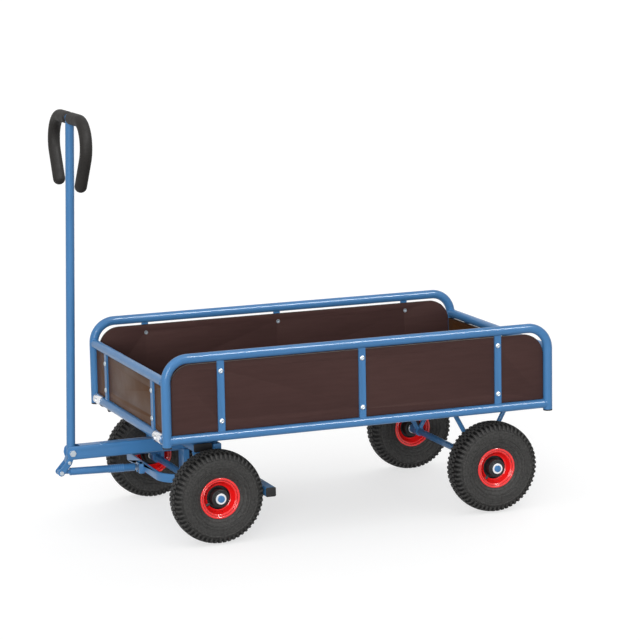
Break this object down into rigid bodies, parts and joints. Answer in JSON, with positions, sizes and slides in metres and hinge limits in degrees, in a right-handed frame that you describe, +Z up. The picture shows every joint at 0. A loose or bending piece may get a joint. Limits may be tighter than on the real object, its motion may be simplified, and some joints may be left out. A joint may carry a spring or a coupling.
{
  "type": "hand cart",
  "caption": "Pull cart with a walled load bed, pneumatic tyres, a turntable front axle, an upright drawbar with a horseshoe handle, and a bar brake that the drawbar works.",
  "frame": {"origin": "on the floor under the middle of the whole cart's length and width", "axes": "+X forwards to the drawbar, +Y to the cart's left, +Z up"},
  "size_m": [1.408, 0.711, 1.201],
  "materials": {
    "frame_blue": "smooth blue powder coat, satin to glossy",
    "brown_board": "dark brown film-coated plywood, satin",
    "zinc_steel": "bright zinc plating",
    "black_plastic": "moulded black plastic",
    "grip_rubber": "soft dark foam rubber",
    "tyre_rubber": "matt moulded tyre rubber",
    "tube_rubber": "black inner-tube rubber",
    "rim_red": "glossy red powder coat on pressed steel"
  },
  "bodies": {
    "bed": {"side_tube_left": "frame_blue", "side_tube_right": "frame_blue", "side_rails": "frame_blue", "end_rails": "frame_blue", "wall_bars": "frame_blue", "side_panel_left": "brown_board", "side_panel_right": "brown_board", "front_panel": "brown_board", "rear_panel": "brown_board", "deck_board": "brown_board", "panel_bolts": "zinc_steel", "wall_clips": "zinc_steel", "deck_bearers": "frame_blue", "tube_plugs": "black_plastic", "deck_crossmembers": "frame_blue", "turntable_upper_ring": "zinc_steel", "king_bolt": "zinc_steel", "rear_axle": "frame_blue", "rear_axle_stays": "frame_blue", "rear_axle_collars": "zinc_steel"},
    "front_bogie": {"turntable_lower_ring": "zinc_steel", "turntable_balls": "zinc_steel", "bogie_crossbeam": "frame_blue", "bogie_legs": "frame_blue", "front_axle": "frame_blue", "front_axle_collars": "zinc_steel", "tow_beam": "frame_blue", "pivot_bolt": "zinc_steel", "crossbeam_caps": "black_plastic"},
    "drawbar": {"drawbar_tube": "frame_blue", "handle_bow": "frame_blue", "grip_left": "grip_rubber", "grip_right": "grip_rubber", "lever_plates": "frame_blue", "lever_bolts": "zinc_steel"},
    "brake_rod": {"brake_rod": "frame_blue", "rod_stud": "zinc_steel"},
    "brake_bow": {"brake_bow": "frame_blue", "brake_bar": "frame_blue", "brake_bar_caps": "black_plastic"},
    "wheel_front_left": {"tyre_front_left": "tyre_rubber", "inner_tube_front_left": "tube_rubber", "rim_front_left": "rim_red", "hub_front_left": "black_plastic", "bearings_front_left": "zinc_steel"},
    "wheel_front_right": {"tyre_front_right": "tyre_rubber", "inner_tube_front_right": "tube_rubber", "rim_front_right": "rim_red", "hub_front_right": "black_plastic", "bearings_front_right": "zinc_steel"},
    "wheel_rear_left": {"tyre_rear_left": "tyre_rubber", "inner_tube_rear_left": "tube_rubber", "rim_rear_left": "rim_red", "hub_rear_left": "black_plastic", "bearings_rear_left": "zinc_steel"},
    "wheel_rear_right": {"tyre_rear_right": "tyre_rubber", "inner_tube_rear_right": "tube_rubber", "rim_rear_right": "rim_red", "hub_rear_right": "black_plastic", "bearings_rear_right": "zinc_steel"}
  },
  "joints": [
    {"name": "steering", "type": "hinge", "parent": "bed", "child": "front_bogie", "pos_m": [0.33003, 0, 0.27975], "axis": [0, 0, 1], "range_deg": [-50, 50]},
    {"name": "drawbar_tilt", "type": "hinge", "parent": "front_bogie", "child": "drawbar", "pos_m": [0.66102, 0, 0.229], "axis": [0, 1, 0], "range_deg": [0, 45]},
    {"name": "brake_rod_link", "type": "hinge", "parent": "drawbar", "child": "brake_rod", "pos_m": [0.69452, 0, 0.174], "axis": [0, 1, 0], "range_deg": [-45, 0]},
    {"name": "brake_bow_slide", "type": "slide", "parent": "front_bogie", "child": "brake_bow", "axis": [1, 0, 0], "range_m": [-0.0482, 0]},
    {"name": "wheel_front_left_spin", "type": "hinge", "parent": "front_bogie", "child": "wheel_front_left", "pos_m": [0.33003, 0.305, 0.133], "axis": [0, 1, 0], "continuous": true},
    {"name": "wheel_front_right_spin", "type": "hinge", "parent": "front_bogie", "child": "wheel_front_right", "pos_m": [0.33003, -0.305, 0.133], "axis": [0, 1, 0], "continuous": true},
    {"name": "wheel_rear_left_spin", "type": "hinge", "parent": "bed", "child": "wheel_rear_left", "pos_m": [-0.51997, 0.305, 0.133], "axis": [0, 1, 0], "continuous": true},
    {"name": "wheel_rear_right_spin", "type": "hinge", "parent": "bed", "child": "wheel_rear_right", "pos_m": [-0.51997, -0.305, 0.133], "axis": [0, 1, 0], "continuous": true}
  ],
  "couplings": [
    {"joint": "brake_rod_link", "follows": "drawbar_tilt", "ratio": -1},
    {"joint": "brake_bow_slide", "follows": "drawbar_tilt", "m_per_rad": -0.0612}
  ]
}
